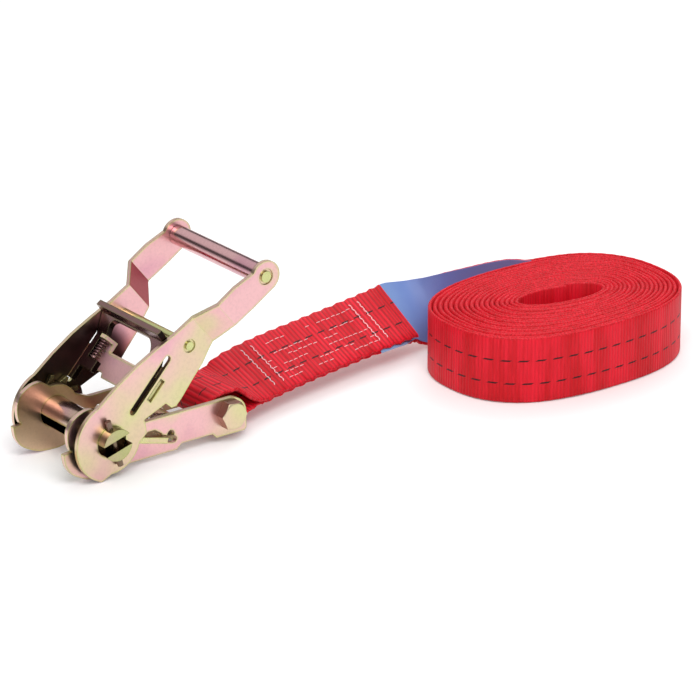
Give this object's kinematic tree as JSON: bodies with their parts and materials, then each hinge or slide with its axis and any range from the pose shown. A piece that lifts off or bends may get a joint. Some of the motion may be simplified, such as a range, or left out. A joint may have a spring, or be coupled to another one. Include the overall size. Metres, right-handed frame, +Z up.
{
  "type": "ratchet tie down",
  "caption": "Folding ratchet buckle in yellow-passivated steel with red webbing sewn round its anchor bolt and the spare webbing rolled up; winds, locks and releases a lashing strap.",
  "frame": {"origin": "middle of the spindle's axis, halfway between the frame's side plates", "axes": "+X runs along the frame from the spindle to the anchor bolt and on to the rolled webbing; Y is the spindle's axis; +Z is up. The near side, with the bolt's head, is -Y."},
  "size_m": [0.3579, 0.1227, 0.0946],
  "materials": {
    "zinc_pink": "yellow-passivated zinc, mostly its pink tint",
    "zinc_green": "yellow-passivated zinc, mostly its yellow-green tint",
    "zinc_dark": "yellow-passivated zinc on pressed pawl plates",
    "spring_steel": "passivated spring wire and pins",
    "webbing": "woven polyester webbing with two black tracer lines",
    "label_cloth": "smooth blue woven label"
  },
  "bodies": {
    "frame": {"frame_plate_near": "zinc_pink", "frame_plate_far": "zinc_pink", "frame_web": "zinc_green", "frame_pawl_spring": "spring_steel", "anchor_bolt": "zinc_pink", "anchor_nut": "zinc_pink", "strap_loop": "webbing", "strap_eye_upper": "webbing", "strap_eye_lower": "webbing", "strap_seam": "webbing", "strap_lead": "webbing", "strap_roll": "webbing", "label": "label_cloth"},
    "bolt_sleeve": {"bolt_sleeve": "zinc_green"},
    "frame_pawl": {"frame_pawl": "zinc_dark"},
    "spindle": {"spindle_half_upper": "zinc_pink", "spindle_half_lower": "zinc_pink", "gear_near": "zinc_green", "gear_far": "zinc_green", "spindle_pin_near": "spring_steel", "spindle_pin_far": "spring_steel"},
    "handle": {"handle_plate_near": "zinc_pink", "handle_plate_far": "zinc_pink", "handle_web": "zinc_green", "handle_spacer": "zinc_green", "pawl_spring_near": "spring_steel", "pawl_spring_far": "spring_steel", "grip_rivet": "zinc_green"},
    "grip": {"grip_tube": "zinc_pink"},
    "handle_pawl": {"handle_pawl": "zinc_dark"}
  },
  "joints": [
    {"name": "handle_swing", "type": "hinge", "parent": "frame", "child": "handle", "pos_m": [0, 0, 0], "axis": [0, -1, 0], "range_deg": [-18, 141]},
    {"name": "spindle_spin", "type": "hinge", "parent": "frame", "child": "spindle", "pos_m": [0, 0, 0], "axis": [0, -1, 0], "continuous": true},
    {"name": "handle_pawl_slide", "type": "slide", "parent": "handle", "child": "handle_pawl", "axis": [0.6845, 0, 0.729], "range_m": [0, 0.005], "stiffness_N_per_m": 600, "springref_m": -0.003, "deforming": ["pawl_spring_near", "pawl_spring_far"]},
    {"name": "frame_pawl_slide", "type": "slide", "parent": "frame", "child": "frame_pawl", "axis": [0.9681, 0, -0.2504], "range_m": [0, 0.005], "stiffness_N_per_m": 600, "springref_m": -0.003, "deforming": ["frame_pawl_spring"]},
    {"name": "grip_spin", "type": "hinge", "parent": "handle", "child": "grip", "pos_m": [0.08417, 0, 0.06719], "axis": [0, -1, 0], "continuous": true},
    {"name": "sleeve_spin", "type": "hinge", "parent": "frame", "child": "bolt_sleeve", "pos_m": [0.072, 0, -0.0049], "axis": [0, -1, 0], "continuous": true}
  ]
}
